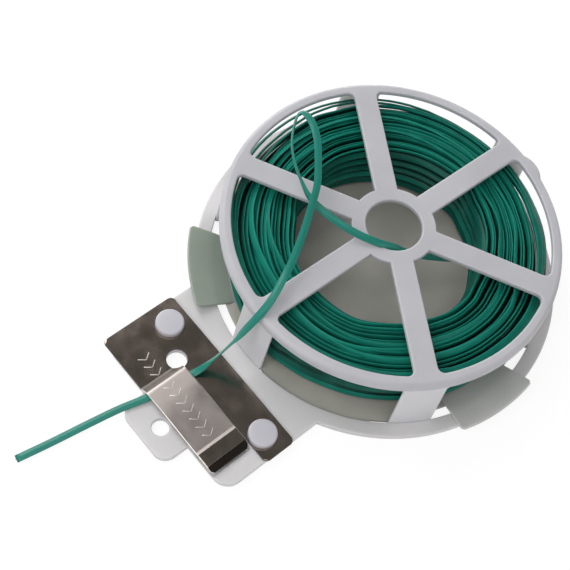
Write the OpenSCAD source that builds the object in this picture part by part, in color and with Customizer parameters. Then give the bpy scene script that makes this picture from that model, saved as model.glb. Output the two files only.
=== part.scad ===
// Garden wire dispenser. A six-spoked cage stands on a base ring, a loose coil of flat
// plastic-coated wire lies in the cage, and a steel cutter sits on a tab of the base.
// Millimetres, +Z up along the axis of the coil, origin on that axis in the plane that the
// dispenser lies on. The cutter tab points towards -Y, and angles are counted from the tab,
// anticlockwise as seen from above.

/* [Cage] */
// Outer radius of the front ring
ring_r = 50; // [49.5:0.1:50.2]
// Inner radius of the front ring
ring_in_r = 46.8; // [46:0.1:47.2]
// Height of the front face above the resting plane
cage_h = 25.8; // [25:0.1:32]
// Thickness of the front ring at its inner edge
ring_t = 2.2; // [1.8:0.1:2.6]
// Outer radius of the hub
hub_r = 12.4; // [11:0.1:14]
// Radius of the hole that the wire is drawn through
hub_hole_r = 8.3; // [8:0.1:9.5]
// Width of a spoke
spoke_w = 6.8; // [5:0.1:8]
// Thickness of the spokes and the hub
spoke_t = 1.8; // [1.4:0.1:2.2]
// Angle that each leg covers
leg_angle = 14.2; // [11:0.1:15]
// Thickness of a leg
leg_t = 1.2; // [1:0.1:1.4]
// Angle by which the cage stands off the line of the tab
cage_turn = -1.4; // [-2:0.1:0]
// How far the rounded bump stands out of the front ring
bump_out = 1.3; // [1:0.1:1.6]

/* [Base] */
// Outer radius of the base ring
base_r = 55.3; // [54.5:0.1:56]
// Inner radius of the base ring
base_in_r = 51.1; // [51:0.1:51.4]
// Thickness of the base ring, the tab and the ear
base_t = 2; // [2:0.1:2.4]
// Width of the cutter tab
tab_w = 54.8; // [54:0.1:55.8]
// Distance from the axis to the outer edge of the tab
tab_reach = 81.3; // [81.3:0.1:82]
// Distance from the axis to the outer edge of the hanging ear
ear_reach = 90; // [89.5:0.1:94]
// Width of the hanging ear
ear_w = 19.8; // [16:0.1:22]
// Radius of the hanging hole
hang_r = 2.5; // [2:0.1:2.6]

/* [Back disc] */
// Radius of the disc that closes the back
disc_r = 50.8; // [50.5:0.1:50.8]
// Thickness of the disc
disc_t = 1.2; // [1:0.1:1.3]
// Reach of the three wings that hook over the base ring
wing_r = 57.7; // [57:0.1:60]
// Angle that each wing covers
wing_angle = 27.4; // [24:0.1:28]
// Angle by which the disc has turned in the cage
disc_turn = -4; // [-4.2:0.1:-2]

/* [Coil] */
// Outer radius of the coil
coil_r = 46.2; // [45:0.1:46.6]
// Inner radius of the coil
coil_in_r = 28.5; // [28.3:0.1:30]
// Height of the top of the coil
coil_top = 21.3; // [20:0.1:21.6]
// Number of loops that the outer layer shows
coil_loops = 24; // [18:1:24]
// Diameter of one loop
loop_d = 1.5; // [1.2:0.05:1.55]

/* [Wire] */
// Width of the flat wire
wire_w = 2.2; // [1.8:0.1:2.3]
// Thickness of the flat wire at its steel core
wire_t = 0.76; // [0.5:0.02:0.8]

/* [Cutter] */
// Width of the steel plate across the tab
plate_w = 56; // [55:0.1:57]
// Distance from the axis to the near edge of the plate
plate_near = 56.9; // [56.5:0.1:57.2]
// Distance from the axis to the far edge of the plate
plate_far = 81.6; // [81.5:0.1:82]
// Thickness of the steel sheet
steel_t = 0.5; // [0.4:0.05:0.55]
// Distance from the axis to the edge that the tongue cuts against
shear_edge = 67.5; // [67:0.1:67.6]
// Gap between the cutting edge and the tongue
shear_gap = 0.5; // [0.4:0.05:0.6]
// Radius of the hole at the root of the tongue
guide_r = 3; // [2.6:0.1:3]
// Radius of a rivet head
rivet_head_r = 4.15; // [3.8:0.05:4.3]

/* [Hidden] */
$fn = 96;

white = [0.78, 0.78, 0.79];
grey_green = [0.50, 0.53, 0.47];
wire_green = [0.05, 0.45, 0.36];
steel = [0.33, 0.30, 0.27];

spokes = 6;
spoke_step = 360 / spokes;
rim_fillet = 1.9;
rim_past = 0.05;
skirt_z = cage_h - 3.3;
skirt_step = 0.1;
ring_shoulder = [1.4, 1.6];
ring_wall = 1.8;
bump_at = 168.7;
bump_half = 4.6;

tab_corner = 5;
ear_x = 1.2;
ear_corner = 4;
hang_x = 2.1;
hang_n = 83.9;
foot_gap = 0.4;

notch_angle = 21.2;
disc_edge_r = 48.3;
wing_corner = 1.5;
wing_lift = [2.3, 4.6];

coil_floor = disc_t + 0.3;
turn_steps = 24;
coil_corner = 2;

guide_x = -11.2;
guide_n = 68;
rivet_x = 21;
rivet_n = 63;
shank_r = 1.95;
shank_gap = 0.05;
rivet_head_h = 2;
rivet_foot_r = 3.5;
rivet_foot_t = 0.7;
plate_top = base_t + steel_t;
plate_corner = 1.6;
tongue_root = -9.6;
root_gap = 0.35;
tongue_end = 21.7;
tongue_w = hang_n - hang_r + 0.15 - shear_edge - shear_gap;
tongue_corner = 1.5;
// Profile of the tongue's upper face: distance along the plate, and height over the plate
tongue_rise = [[tongue_root, 0.1], [-7.2, 1.55], [-1, 2], [15, 2], [19.6, 1.7], [tongue_end, 0.55]];
pocket_x = [15.5, 22.1];
pocket_floor = 0.9;

// Turns its children to an angle counted from the tab
module at_angle(a) { rotate([0, 0, a - 90]) children(); }

// Turns its children to each spoke of the cage
module at_spokes() { for (k = [0 : spokes - 1]) at_angle(cage_turn + k * spoke_step) children(); }

// Turns its children to each wing of the disc
module at_wings() { for (k = [0 : 2]) at_angle(disc_turn - spoke_step / 2 + 2 * k * spoke_step) children(); }

// A wedge of the plane about the X axis, from the origin out to the given reach
module wedge(angle, reach) {
    half = angle / 2;
    far = reach / cos(half);
    polygon([[0, 0], [far * cos(half), -far * sin(half)], [far * cos(half), far * sin(half)]]);
}

// Points along a circle about c, from angle a0 to angle a1 in n steps
function arc(c, r, a0, a1, n) = [for (i = [0 : n]) let (a = a0 + (a1 - a0) * i / n) c + r * [cos(a), sin(a)]];

// A rectangle from corner a to corner b with round corners
module round_rect(a, b, r) {
    translate([a[0] + r, a[1]]) square([b[0] - a[0] - 2 * r, b[1] - a[1]]);
    translate([a[0], a[1] + r]) square([b[0] - a[0], b[1] - a[1] - 2 * r]);
    for (x = [a[0] + r, b[0] - r]) for (y = [a[1] + r, b[1] - r]) translate([x, y]) circle(r);
}

// The round holes through the tab and the plate
module cutter_holes(clear) {
    translate([guide_x, -guide_n, -1]) cylinder(r = guide_r, h = 9);
    for (x = [-rivet_x, rivet_x]) translate([x, -rivet_n, -1]) cylinder(r = shank_r + clear, h = 9);
}

// ---------------------------------------------------------------- base

// The ring that carries the cage
module base_ring() {
    color(white) difference() {
        cylinder(r = base_r, h = base_t);
        translate([0, 0, -1]) cylinder(r = base_in_r, h = base_t + 2);
    }
}

// The tab under the cutter, with the hanging ear. It ends at the outside of the base ring
module cutter_tab() {
    foot_depth = rivet_foot_t + 0.1;
    color(white) difference() {
        linear_extrude(base_t) {
            round_rect([-tab_w / 2, -tab_reach], [tab_w / 2, -20], tab_corner);
            round_rect([ear_x - ear_w / 2, -ear_reach], [ear_x + ear_w / 2, -60], ear_corner);
        }
        translate([0, 0, -1]) cylinder(r = base_r, h = base_t + 2);
        translate([hang_x, -hang_n, -1]) cylinder(r = hang_r, h = base_t + 2);
        cutter_holes(shank_gap);
        for (x = [-rivet_x, rivet_x]) translate([x, -rivet_n, -1])
            cylinder(r = rivet_foot_r + shank_gap, h = 1 + foot_depth);
        // Room under the end of the tongue for its travel
        translate([pocket_x[0], -tab_reach - 1, pocket_floor])
            cube([pocket_x[1] - pocket_x[0], tab_reach + 1 - shear_edge - shear_gap, base_t]);
    }
}

// ---------------------------------------------------------------- cage

// Outline of the gap between two spokes, from the hub out past the rim. The rounding of its
// outer corners would meet a circle just outside the rim, so it crosses the rim at an angle
module window_outline() {
    half = spoke_w / 2;
    rim_c = ring_in_r + rim_past - rim_fillet;
    rim_a = spoke_step / 2 - asin((half + rim_fillet) / rim_c);
    hub_a = spoke_step / 2 - asin(half / hub_r);
    edge_a = spoke_step / 2 + 90;
    polygon(concat(
        arc([0, 0], ring_in_r + 1, -rim_a, rim_a, 12),
        arc(rim_c * [cos(rim_a), sin(rim_a)], rim_fillet, rim_a, edge_a, 8),
        arc([0, 0], hub_r, hub_a, -hub_a, 6),
        arc(rim_c * [cos(rim_a), -sin(rim_a)], rim_fillet, 360 - edge_a, 360 - rim_a, 8)));
}

// The front ring, with a shallow rounded bump on its outside
module front_ring() {
    rise = bump_out + ring_r - sqrt(ring_r * ring_r - bump_half * bump_half);
    bump_r = (bump_half * bump_half + rise * rise) / (2 * rise);
    low = skirt_z + 0.1;
    color(white) difference() {
        union() {
            rotate_extrude()
                polygon([[0, skirt_z], [0, cage_h], [ring_r - ring_shoulder[0], cage_h],
                         [ring_r, cage_h - ring_shoulder[1]], [ring_r, skirt_z]]);
            at_angle(bump_at) translate([ring_r + bump_out - bump_r, 0, low])
                cylinder(r = bump_r, h = cage_h - ring_shoulder[1] - 0.1 - low);
        }
        rotate_extrude()
            polygon([[0, skirt_z - 1], [0, cage_h + 1], [ring_in_r, cage_h + 1], [ring_in_r, cage_h - ring_t],
                     [ring_r - ring_wall, cage_h - ring_t], [ring_r - leg_t, skirt_z], [ring_r - leg_t, skirt_z - 1]]);
    }
}

// The hub and its spokes, which end at the inside of the front ring
module hub_and_spokes() {
    color(white) difference() {
        translate([0, 0, cage_h - spoke_t]) cylinder(r = ring_in_r, h = spoke_t);
        translate([0, 0, cage_h - spoke_t - 1]) cylinder(r = hub_hole_r, h = spoke_t + 2);
        at_spokes() rotate([0, 0, spoke_step / 2]) translate([0, 0, cage_h - spoke_t - 1])
            linear_extrude(spoke_t + 2) window_outline();
    }
}

// Legs that stand under the front ring and end at the inside of the base ring
module cage_legs() {
    out_r = ring_r - skirt_step;
    in_r = ring_r - leg_t + skirt_step;
    foot_r = base_in_r - leg_t;
    color(white) at_spokes() rotate([0, 0, -leg_angle / 2]) rotate_extrude(angle = leg_angle)
        polygon([[in_r, skirt_z], [out_r, skirt_z], [base_in_r, base_t], [base_in_r, 0], [foot_r, 0],
                 [foot_r, base_t]]);
}

// ---------------------------------------------------------------- back disc

// Outline of a wing about the X axis, with its two outer corners rounded
module wing_outline() {
    half = wing_angle / 2;
    c = wing_r - wing_corner;
    a = half - asin(wing_corner / c);
    root = disc_edge_r - 2;
    polygon(concat(
        arc([0, 0], wing_r, -a, a, 16),
        arc(c * [cos(a), sin(a)], wing_corner, a, half + 90, 6),
        [root * [cos(half), sin(half)], root * [cos(half), -sin(half)]],
        arc(c * [cos(a), -sin(a)], wing_corner, -half - 90, -a, 6)));
}

// A wing leaves the edge of the disc, rises over the base ring and runs out above it
module wing() {
    step = 0.2;
    tip = wing_r + 1;
    t = disc_t - step;
    intersection() {
        rotate([0, 0, -wing_angle / 2 - 2]) rotate_extrude(angle = wing_angle + 4)
            polygon([[disc_edge_r - 1, step], [disc_edge_r, step], [base_in_r - 0.2, wing_lift[0]],
                     [tip, wing_lift[1]], [tip, wing_lift[1] + t], [base_in_r - 0.6, wing_lift[0] + t],
                     [disc_edge_r - 0.1, t], [disc_edge_r - 1, t]]);
        linear_extrude(wing_lift[1] + 3) wing_outline();
    }
}

module back_disc() {
    notch_r = base_in_r - leg_t - foot_gap;
    color(grey_green) {
        linear_extrude(disc_t) difference() {
            circle(disc_r);
            // Notches that clear the six legs
            for (k = [0 : spokes - 1]) at_angle(disc_turn + k * spoke_step) difference() {
                wedge(notch_angle, 60);
                circle(notch_r);
            }
            // Wide gaps on both sides of each wing, so that it can flex
            at_wings() difference() {
                wedge(spoke_step - 2, 60);
                circle(disc_edge_r);
            }
        }
        at_wings() wing();
    }
}

// ---------------------------------------------------------------- wire coil

// Centre line of the winding in section: up the outside, across the top and down the inside
wind_r = [coil_r - loop_d / 2, coil_in_r + loop_d / 2];
wind_z = [coil_floor + loop_d / 2 + 0.4, coil_top - loop_d / 2];
wind_up = wind_z[1] - wind_z[0] - coil_corner;
wind_across = wind_r[0] - wind_r[1] - 2 * coil_corner;
wind_bend = PI / 2 * coil_corner;
wind_len = 2 * wind_up + 2 * wind_bend + wind_across;

function wind_at(s) =
    s < wind_up ? [wind_r[0], wind_z[0] + s]
    : s < wind_up + wind_bend ? let (a = (s - wind_up) / wind_bend * 90)
        [wind_r[0] - coil_corner * (1 - cos(a)), wind_z[1] - coil_corner * (1 - sin(a))]
    : s < wind_up + wind_bend + wind_across ? [wind_r[0] - coil_corner - (s - wind_up - wind_bend), wind_z[1]]
    : s < wind_len - wind_up ? let (a = (s - wind_up - wind_bend - wind_across) / wind_bend * 90)
        [wind_r[1] + coil_corner * (1 - sin(a)), wind_z[1] - coil_corner * (1 - cos(a))]
    : [wind_r[1], wind_z[1] - coil_corner - (s - (wind_len - wind_up))];

wind_rings = coil_loops * turn_steps;
wind_path = [for (i = [0 : wind_rings]) let (p = wind_at(wind_len * i / wind_rings), a = 360 * i / turn_steps)
    [p[0] * cos(a), p[0] * sin(a), p[1]]];

// Least distance between the surfaces of neighbouring loops, measured at the rings
wind_gap = min([for (i = [0 : wind_rings - turn_steps]) for (j = [i + turn_steps - 2 : min(wind_rings, i + turn_steps + 2)])
    norm(wind_path[i] - wind_path[j])]) - loop_d;
echo(least_gap_between_loops = wind_gap);

function unit(v) = v / norm(v);

// Triangles of a closed tube: rings of points, each with the same number of sides
module skin(rings) {
    n = len(rings[0]);
    m = len(rings);
    sides = [for (i = [0 : m - 2]) for (j = [0 : n - 1]) let (k = (j + 1) % n)
        each [[i * n + j, i * n + k, (i + 1) * n + k], [i * n + j, (i + 1) * n + k, (i + 1) * n + j]]];
    ends = [for (j = [1 : n - 2]) each [[0, j + 1, j], [(m - 1) * n, (m - 1) * n + j, (m - 1) * n + j + 1]]];
    polyhedron([for (r = rings) each r], concat(sides, ends));
}

// The path with a straight run of one diameter added at both ends
wind_last = len(wind_path) - 1;
wind_ends = concat([wind_path[0] + unit(wind_path[0] - wind_path[1]) * loop_d], wind_path,
                   [wind_path[wind_last] + unit(wind_path[wind_last] - wind_path[wind_last - 1]) * loop_d]);

module wire_coil_winding() {
    last = len(wind_ends) - 1;
    color(wire_green) skin([for (i = [0 : last]) let (
        t = unit(wind_ends[min(i + 1, last)] - wind_ends[max(i - 1, 0)]),
        u = unit(cross([0, 0, 1], t)),
        v = cross(t, u))
        [for (k = [0 : 5]) wind_ends[i] + loop_d / 2 * (cos(60 * k) * u + sin(60 * k) * v)]]);
}

module wire_coil_core() {
    // Chords of the loops reach inside their circles by this share
    sag = 1 - cos(180 / turn_steps);
    r_out = coil_r - loop_d;
    r_in = coil_in_r + loop_d - sag * coil_in_r;
    color(wire_green * 0.7) rotate_extrude()
        round_rect([r_in, coil_floor], [r_out, coil_top - loop_d], 1);
}

// ---------------------------------------------------------------- wire tail

// Route of the free wire: out of the coil, up through the hub hole, one loop over the cage,
// down across the cutter and out to its bare end
tail = [[20.2, 18.4, 13], [16.2, 13.5, 14.8], [13.4, 8.8, 16.6], [10.8, 4.4, 18.4], [8.4, 0.8, 20.4],
        [6.8, -1.8, 22.4], [4.7, -5, 24.9], [1.6, -8.7, 26.9], [-3.5, -12.2, 28.2], [-8.8, -14.6, 29.2],
        [-14.1, -16.3, 30.2], [-19.2, -16.9, 31.2], [-24.4, -15.9, 32.4], [-29.8, -14.1, 33.8],
        [-34.2, -11.5, 35.2], [-37.7, -8, 36.6], [-39.5, -5.2, 37.6], [-39.1, -3.8, 38.2], [-37, -3.6, 38.5],
        [-33.3, -4.6, 38.4], [-29.1, -6.8, 37.9], [-24.8, -10.1, 37], [-19.7, -14.5, 35.6], [-15.5, -20, 34],
        [-10.3, -27.6, 32.4], [-6.3, -34.4, 31], [-3.7, -40.1, 29.8], [-1.4, -45.7, 28.4], [-0.7, -50.5, 25.6],
        [-1.2, -54.1, 20.4], [-2.1, -57, 14.6], [-3.2, -60.8, 8.6], [-4.1, -64.6, 4.6], [-4.9, -68, 2.98],
        [-5.8, -74.8, 2.96], [-6.7, -81.7, 2.94], [-8.7, -89.7, 2.5], [-10.5, -99, 1.8], [-12.3, -109.6, 1.2],
        [-14.2, -119.8, 0.8]];
// Direction that the flat side of the wire faces at each of those points
flat_up = [0, 0, 1];
flat_front = [0.25, -0.45, 0.85];
flat_side = [-0.4, -0.87, -0.2];
flat_back = [-0.62, -0.73, -0.21];
flat_edge = [-0.75, -0.2, 0.35];
tail_face = concat([for (i = [0 : 5]) flat_up], [for (i = [6 : 10]) flat_front],
                   [[-0.1, -0.85, 0.35], [-0.3, -0.9, 0], flat_side, flat_back, flat_back, [-0.75, -0.4, 0.3],
                    [-0.5, 0.1, 0.8], [-0.1, 0.1, 1]],
                   [for (i = [19 : 28]) flat_front], [[-0.2, -0.7, 0.7], flat_edge, flat_edge, [-0.2, -0.1, 1]],
                   [for (i = [33 : 39]) flat_up]);
tail_steps = 2;

// A smooth curve through the points of a list
function curve_at(p, i, t) = let (
    a = p[max(i - 1, 0)], b = p[i], c = p[min(i + 1, len(p) - 1)], d = p[min(i + 2, len(p) - 1)])
    0.5 * (2 * b + (c - a) * t + (2 * a - 5 * b + 4 * c - d) * t * t + (3 * b - a - 3 * c + d) * t * t * t);
function smooth(p) = concat([for (i = [0 : len(p) - 2]) for (k = [0 : tail_steps - 1]) curve_at(p, i, k / tail_steps)],
                            [p[len(p) - 1]]);
function run_length(p) = [for (i = 0, s = 0; i < len(p); i = i + 1,
    s = s + (i < len(p) ? norm(p[i] - p[i - 1]) : 0)) s][len(p) - 1];

tail_path = smooth(tail);
tail_normal = smooth(tail_face);
echo(tail_length = run_length(tail_path), tail_rings = len(tail_path));

// Section of the flat wire: full thickness over the steel core, thin at the edges
wire_core_w = 0.45 * wire_w;
wire_edge_t = 0.34 * wire_t;
wire_section = [[wire_w, wire_edge_t], [wire_core_w, wire_t], [-wire_core_w, wire_t], [-wire_w, wire_edge_t],
                [-wire_w, -wire_edge_t], [-wire_core_w, -wire_t], [wire_core_w, -wire_t], [wire_w, -wire_edge_t]] / 2;

module wire_tail() {
    last = len(tail_path) - 1;
    color(wire_green) skin([for (i = [0 : last]) let (
        t = unit(tail_path[min(i + 1, last)] - tail_path[max(i - 1, 0)]),
        n = unit(tail_normal[i] - (tail_normal[i] * t) * t),
        b = cross(n, t))
        [for (q = wire_section) tail_path[i] + q[0] * b + q[1] * n]]);
}

// ---------------------------------------------------------------- cutter

module cutter_plate() {
    half = plate_w / 2;
    color(steel) difference() {
        translate([0, 0, base_t]) linear_extrude(steel_t) {
            round_rect([-half, -shear_edge], [half, -plate_near], plate_corner);
            intersection() {
                round_rect([-half, -plate_far], [half, -plate_near], plate_corner);
                translate([-half, -plate_far]) square([half + tongue_root - root_gap, plate_far - plate_near]);
            }
        }
        cutter_holes(shank_gap * 2);
    }
}

module cutter_tongue() {
    near = -shear_edge - shear_gap;
    upper = [for (p = tongue_rise) [p[0], plate_top + p[1]]];
    lower = [for (i = [len(tongue_rise) - 1 : -1 : 0]) [tongue_rise[i][0], plate_top + tongue_rise[i][1] - steel_t]];
    color(steel) difference() {
        intersection() {
            translate([0, near, 0]) rotate([90, 0, 0]) linear_extrude(tongue_w) polygon(concat(upper, lower));
            linear_extrude(10) round_rect([tongue_root - 10, near - tongue_w], [tongue_end, near], tongue_corner);
        }
        translate([guide_x, -guide_n, 0]) cylinder(r = guide_r, h = 9);
    }
}

module cutter_rivets() {
    round_over = 0.6;
    color(white) for (x = [-rivet_x, rivet_x]) translate([x, -rivet_n, 0]) {
        rotate_extrude() translate([0, plate_top]) {
            square([rivet_head_r, rivet_head_h - round_over]);
            square([rivet_head_r - round_over, rivet_head_h]);
            translate([rivet_head_r - round_over, rivet_head_h - round_over]) intersection() {
                circle(round_over);
                square(round_over);
            }
        }
        translate([0, 0, 0.1]) cylinder(r = shank_r, h = plate_top);
        translate([0, 0, 0.1]) cylinder(r = rivet_foot_r, h = rivet_foot_t);
    }
}

base_ring();
cutter_tab();
cage_legs();
front_ring();
hub_and_spokes();
back_disc();
wire_coil_core();
wire_coil_winding();
wire_tail();
cutter_plate();
cutter_tongue();
cutter_rivets();
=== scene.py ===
"""Looks of the garden wire dispenser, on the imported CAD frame.

Shapes are written in millimetres in the row frame and become metres when a mesh is made.
"""
import math
import random
from collections import namedtuple

import bmesh
import bpy
from mathutils import Euler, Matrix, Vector, noise
from mathutils.geometry import delaunay_2d_cdt


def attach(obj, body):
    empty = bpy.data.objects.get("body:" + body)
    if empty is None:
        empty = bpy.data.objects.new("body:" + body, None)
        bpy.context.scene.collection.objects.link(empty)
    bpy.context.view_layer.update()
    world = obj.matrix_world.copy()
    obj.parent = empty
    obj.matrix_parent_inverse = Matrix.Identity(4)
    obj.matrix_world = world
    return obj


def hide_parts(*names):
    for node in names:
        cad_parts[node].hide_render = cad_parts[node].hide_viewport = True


MM = 0.001
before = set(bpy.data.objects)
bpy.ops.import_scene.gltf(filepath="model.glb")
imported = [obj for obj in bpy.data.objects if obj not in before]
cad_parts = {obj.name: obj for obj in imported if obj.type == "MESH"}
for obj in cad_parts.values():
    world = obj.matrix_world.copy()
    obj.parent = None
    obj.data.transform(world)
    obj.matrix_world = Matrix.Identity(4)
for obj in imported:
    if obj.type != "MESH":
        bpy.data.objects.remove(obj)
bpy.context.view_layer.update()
scene = bpy.context.scene
scene.view_settings.view_transform = "Standard"


def add_object(name, data):
    made = bpy.data.objects.new(name, data)
    scene.collection.objects.link(made)
    return made


# -------- camera

# Fitted to the photo: place in metres, turn in degrees, lens in millimetres
CAMERA_AT = (0.085685, -0.164697, 0.309477)
CAMERA_TURN = (27.6277, -7.8908, 49.8753)
SENSOR_W, CAMERA_LENS = 36, 74.556
CAMERA_SHIFT = (-0.0009, 0.0004)
NEAREST_SEEN = 0.01


def add_camera():
    data = bpy.data.cameras.new("camera")
    camera = add_object("camera", data)
    camera.location = CAMERA_AT
    camera.rotation_euler = Euler([math.radians(a) for a in CAMERA_TURN], "XYZ")
    data.sensor_width, data.lens = SENSOR_W, CAMERA_LENS
    data.clip_start = NEAREST_SEEN
    data.shift_x, data.shift_y = CAMERA_SHIFT
    scene.camera = camera


add_camera()


# -------- materials

MIX_A, MIX_B, MIX_RESULT = 6, 7, 2  # the colour sockets of a Mix node
PLASTIC_IOR, COATING_IOR = 1.49, 1.45
ENTRY_MM, ENTRY_TINT = 2.5, (1, 0.95, 0.9)
# The low colour is painted light from the floor, and fades out between these heights.
FLOOR_LIGHT_FADE = (0.004, 0.023)  # heights in metres between which the low colour gives way
LINES_SCALE = (0.35, 26, 1)  # drawing lines per unit along and across the wire
TURN_SHARE, MOTTLE_SHARE = 0.62, 0.38
SMUDGE_TONES = (0.92, 1.06)
LINES_SHARE = 0.35


def add_node(tree, kind, inputs=None, **settings):
    """Adds a shader node. An input that is a socket is linked, and any other is set."""
    made = tree.nodes.new("ShaderNode" + kind)
    for key, value in settings.items():
        setattr(made, key, value)
    for key, value in (inputs or {}).items():
        if isinstance(value, bpy.types.NodeSocket):
            tree.links.new(value, made.inputs[key])
        else:
            made.inputs[key].default_value = value
    return made


def emptied(owner):
    """The node tree of a material or a world, emptied."""
    owner.use_nodes = True
    owner.node_tree.nodes.clear()
    return owner.node_tree


def new_material(name, settings):
    """A material with a Principled shader that has the settings, and its object coordinates."""
    material = bpy.data.materials.new(name)
    tree = emptied(material)
    shader = add_node(tree, "BsdfPrincipled", settings)
    add_node(tree, "OutputMaterial", {"Surface": shader.outputs[0]})
    coords = add_node(tree, "TexCoord").outputs["Object"]
    return material, tree, shader, coords


def texture(coords, size_mm, detail=3.0, stretch=(1, 1, 1), rough=0.5):
    """Noise whose features are about size_mm across, drawn out along the larger stretch."""
    tree, scale = coords.id_data, 1 / (size_mm * MM)
    mapped = add_node(tree, "Mapping", {"Vector": coords, "Scale": [scale / s for s in stretch]})
    return add_node(tree, "TexNoise", {
        "Vector": mapped.outputs[0], "Scale": 1.0, "Detail": detail, "Roughness": rough}).outputs["Fac"]


def ramp(fac, given, wanted=(0, 1)):
    """Runs over the wanted range as fac runs over the given one."""
    return add_node(fac.id_data, "MapRange", {
        "Value": fac, "From Min": given[0], "From Max": given[1], "To Min": wanted[0],
        "To Max": wanted[1]}).outputs[0]


def calculate(operation, *values):
    return add_node(values[0].id_data, "Math", dict(enumerate(values)), operation=operation).outputs[0]


def blend(fac, first, second):
    """Goes from the first colour to the second as fac goes from 0 to 1."""
    made = add_node(fac.id_data, "Mix", {"Factor": fac}, data_type="RGBA")
    for socket, colour in ((made.inputs[MIX_A], first), (made.inputs[MIX_B], second)):
        if isinstance(colour, bpy.types.NodeSocket):
            fac.id_data.links.new(colour, socket)
        else:
            socket.default_value = (*colour, 1)
    return made.outputs[MIX_RESULT]


def feed(shader, name, socket):
    shader.id_data.links.new(socket, shader.inputs[name])


def bump(shader, height, strength, depth_mm, below=None):
    """Adds relief to a shader, on top of the relief below where there is one."""
    inputs = {"Height": height, "Strength": strength, "Distance": depth_mm * MM}
    if below is not None:
        inputs["Normal"] = below
    made = add_node(shader.id_data, "Bump", inputs)
    feed(shader, "Normal", made.outputs[0])
    return made.outputs[0]


def plastic(name, colour, shade, roughness, through, grain_mm=0.25, low=None):
    """Satin moulded plastic: faint flow marks, a fine grain and light that enters it a little.

    Where low is given, the part near the resting plane has that colour instead: painted light, a lighter tone
    for the light that the floor throws up onto it.
    """
    material, tree, shader, coords = new_material(name, {
        "IOR": PLASTIC_IOR, "Subsurface Weight": through, "Subsurface Radius": ENTRY_TINT,
        "Subsurface Scale": ENTRY_MM * MM})
    flow = texture(coords, 16, detail=2, stretch=(1, 1, 3))
    tone = blend(ramp(flow, (0.35, 0.68)), shade, colour)
    # Painted floor light: lighter towards the bottom.
    if low:
        height = add_node(tree, "SeparateXYZ", {0: coords}).outputs["Z"]
        tone = blend(ramp(height, FLOOR_LIGHT_FADE), low, tone)
    feed(shader, "Base Color", tone)
    patch = texture(coords, 4, detail=3)
    feed(shader, "Roughness", ramp(patch, (0.3, 0.7), (roughness - 0.05, roughness + 0.07)))
    wave = bump(shader, texture(coords, 9, detail=1), 0.25, 0.12)
    bump(shader, texture(coords, grain_mm, detail=2), 0.12, 0.03, wave)
    return material


def coating(name, dark, light, shine):
    """Glossy drawn plastic coating: each turn has its own tone, the darkest ones painted shade, with fine
    lines along the wire.
    """
    material, tree, shader, coords = new_material(name, {"IOR": COATING_IOR, "Specular IOR Level": shine})
    along = add_node(tree, "UVMap").outputs[0]
    turn = add_node(tree, "Attribute", attribute_name="turn_tone_and_shade").outputs["Fac"]
    mapped = add_node(tree, "Mapping", {"Vector": along, "Scale": LINES_SCALE}).outputs[0]
    lines = add_node(tree, "TexNoise", {"Vector": mapped, "Scale": 1.0, "Detail": 2.0}).outputs["Fac"]
    mottle = texture(coords, 5, detail=2)
    mixed = calculate("MULTIPLY", turn, TURN_SHARE)
    mixed = calculate("MULTIPLY_ADD", mottle, MOTTLE_SHARE, mixed)
    feed(shader, "Base Color", blend(mixed, dark, light))
    feed(shader, "Roughness", ramp(lines, (0.3, 0.7), (0.24, 0.34)))
    fine = bump(shader, lines, 0.08, 0.05)
    bump(shader, texture(coords, 1.3, detail=1), 0.10, 0.06, fine)
    return material


def steel(name, roughness, tint):
    """Bright rolled sheet: fine rolling lines across the plate, and smudges in the polish."""
    material, _, shader, coords = new_material(name, {"Metallic": 1.0})
    lines = texture(coords, 0.16, stretch=(60, 1, 1))
    smudge = texture(coords, 7, detail=4, rough=0.6)
    dull, bright = ([c * tone for c in tint] for tone in SMUDGE_TONES)
    feed(shader, "Base Color", blend(ramp(smudge, (0.35, 0.7)), dull, bright))
    worn = calculate("MULTIPLY_ADD", lines, LINES_SHARE, smudge)
    feed(shader, "Roughness", ramp(worn, (0.45, 0.95), roughness))
    wave = bump(shader, texture(coords, 14, detail=1), 0.2, 0.06)
    bump(shader, lines, 0.03, 0.008, wave)
    return material


# Plastic: colour, shade of its flow marks, roughness, share of light that enters, grain in mm
# The white plastic's low colour is painted light: lighter near the resting plane, for light from the floor.
WHITE = plastic("white_plastic", (0.495, 0.494, 0.525), (0.455, 0.455, 0.488), 0.42, 0.4,
                low=(0.635, 0.625, 0.632))
# The legs get a lighter copy of the white plastic: painted light.
WHITE_LEGS_PAINTED_LIGHT = plastic("white_plastic_legs_painted_light", (0.66, 0.66, 0.69), (0.62, 0.62, 0.65), 0.42, 0.4)
# A near-white copy for the legs' faces towards the coil: painted light, for light coming through the plastic
# from behind.
WHITE_INSIDE_PAINTED_BACKLIGHT = plastic("white_plastic_inside_painted_backlight", (0.93, 0.93, 0.93), (0.88, 0.88, 0.88), 0.5, 0.8)
RIVET = plastic("rivet_plastic", (0.56, 0.55, 0.60), (0.51, 0.50, 0.55), 0.36, 0.15)
# The wings are one grey-green plastic in two copies. The left wing's copy is greener: painted green
# reflection from the coil.
WING_PAINTED_GREEN_BOUNCE = plastic("grey_green_plastic", (0.335, 0.38, 0.33), (0.295, 0.34, 0.29), 0.45, 0.3, 0.4)
# The other wings' copy is paler: painted sheen and light.
WING_PAINTED_SHEEN = plastic("grey_green_plastic_painted_sheen", (0.61, 0.615, 0.60), (0.56, 0.565, 0.55), 0.45, 0.3, 0.4)
# The disc's floor gets a lighter copy of the grey-green plastic: painted light under the cage.
DISC_SHEET_PAINTED_LIGHT = plastic("grey_green_sheet_painted_light", (0.475, 0.465, 0.42), (0.415, 0.405, 0.365), 0.5, 0.2, 0.4)
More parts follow.
